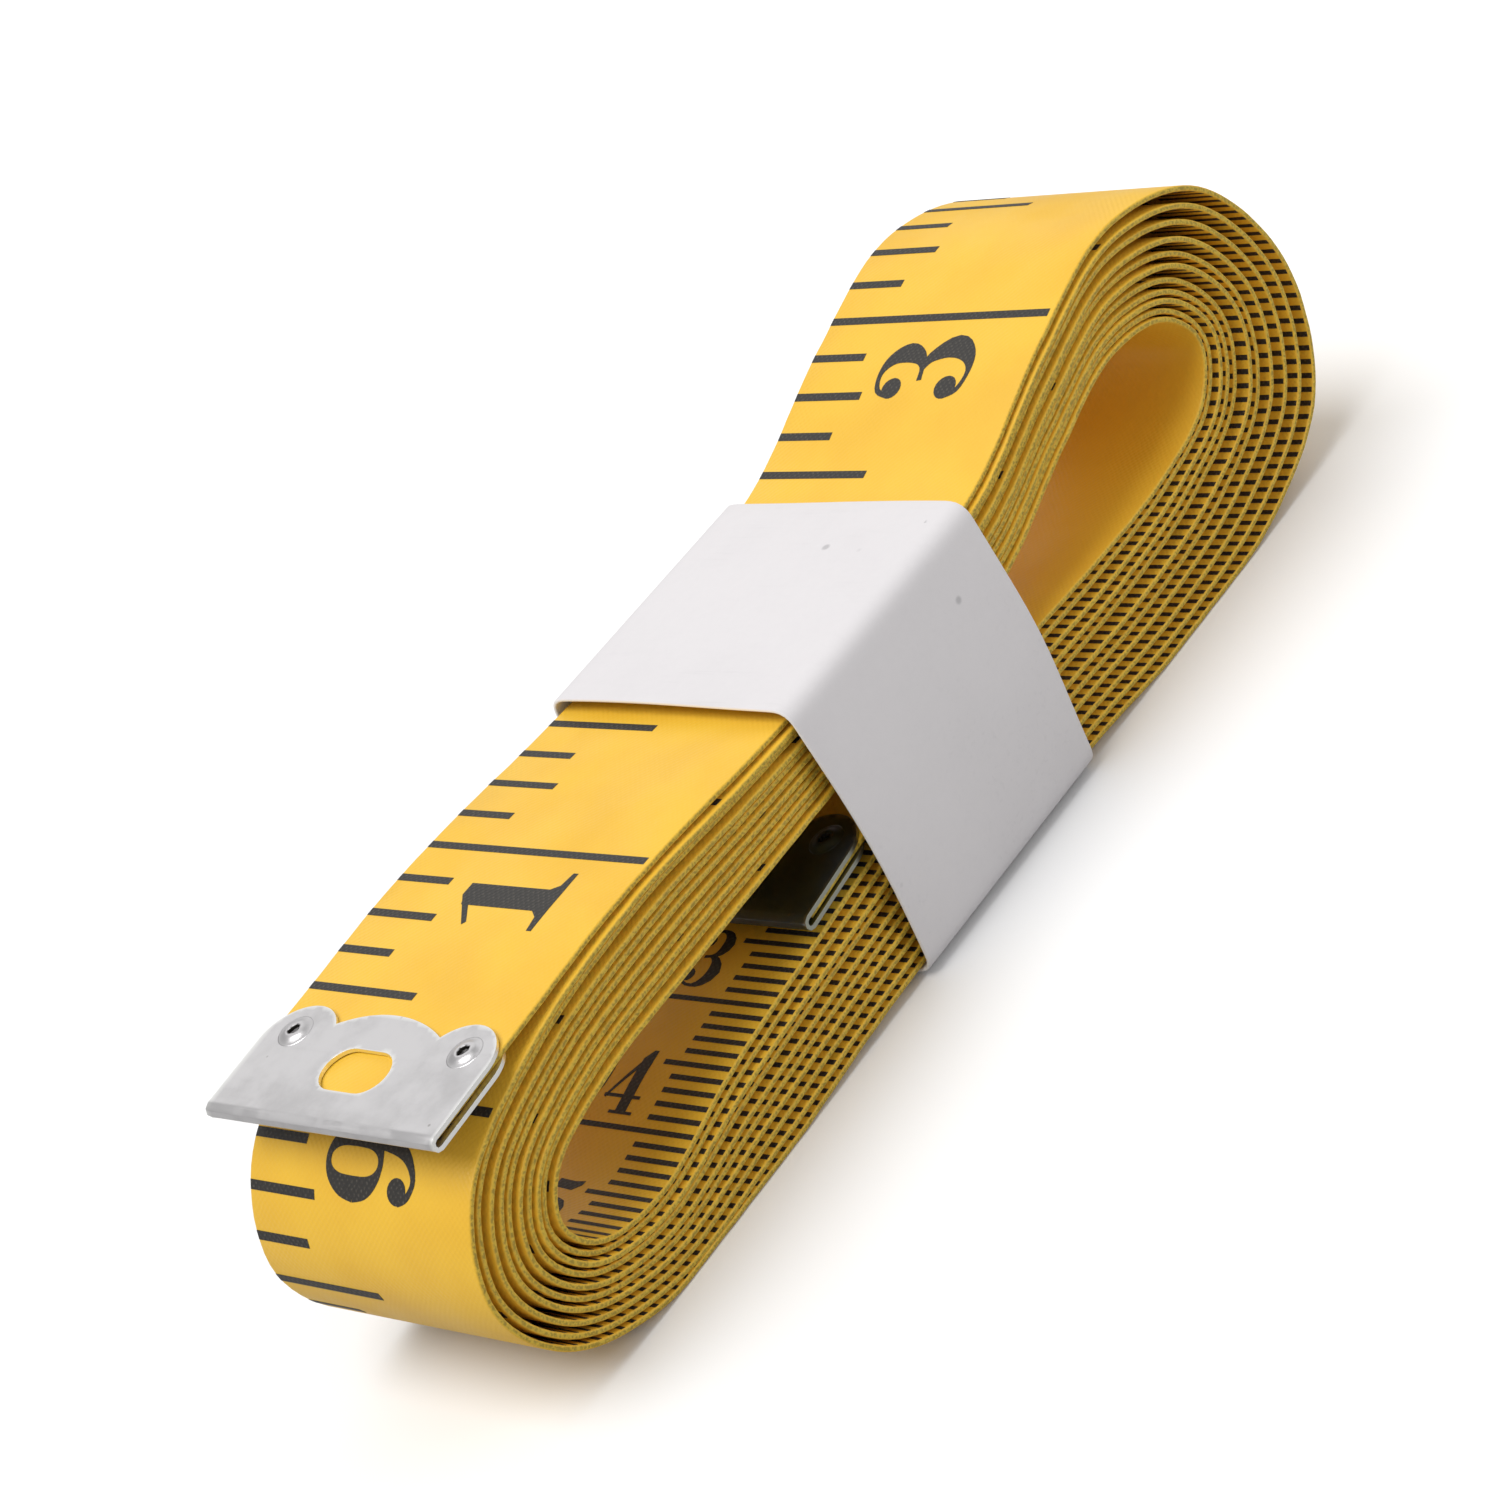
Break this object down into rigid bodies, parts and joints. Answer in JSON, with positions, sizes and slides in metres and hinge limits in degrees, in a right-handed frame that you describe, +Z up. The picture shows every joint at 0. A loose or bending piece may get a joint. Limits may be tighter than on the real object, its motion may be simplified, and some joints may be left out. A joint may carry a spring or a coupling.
{
  "type": "tape measure",
  "caption": "Soft tailor's tape measure wound into a long flat coil, held by a paper band, with a folded steel clip on each end of the printed vinyl tape.",
  "frame": {"origin": "middle of the coil's footprint, on the surface that it lies on", "axes": "+X along the coil, away from the outer clip; +Y across the tape, towards the edge where the inch scale starts; +Z up"},
  "size_m": [0.0983, 0.0218, 0.0271],
  "materials": {
    "tape": "satin yellow vinyl over woven glass fibre, printed in dark grey",
    "tape_ink": "matt dark grey print",
    "clip_steel": "bright pressed tinplate with faint handling marks",
    "eyelet_steel": "pressed steel",
    "band_card": "matt white card"
  },
  "bodies": {
    "coil": {"tape_coil": "tape", "inner_clip": "clip_steel", "inner_clip_eyelet_near": "eyelet_steel", "inner_clip_eyelet_far": "eyelet_steel"},
    "free_end": {"tape_free_end": "tape", "outer_clip": "clip_steel", "outer_clip_eyelet_near": "eyelet_steel", "outer_clip_eyelet_far": "eyelet_steel"},
    "band": {"paper_band": "band_card"}
  },
  "joints": [
    {"name": "free_end_lift", "type": "hinge", "parent": "coil", "child": "free_end", "pos_m": [-0.0135, 0, 0.0214], "axis": [0, 1, 0], "range_deg": [0, 50]},
    {"name": "band_slide", "type": "slide", "parent": "coil", "child": "band", "axis": [1, 0, 0], "range_m": [-0.0025, 0.0025]}
  ]
}
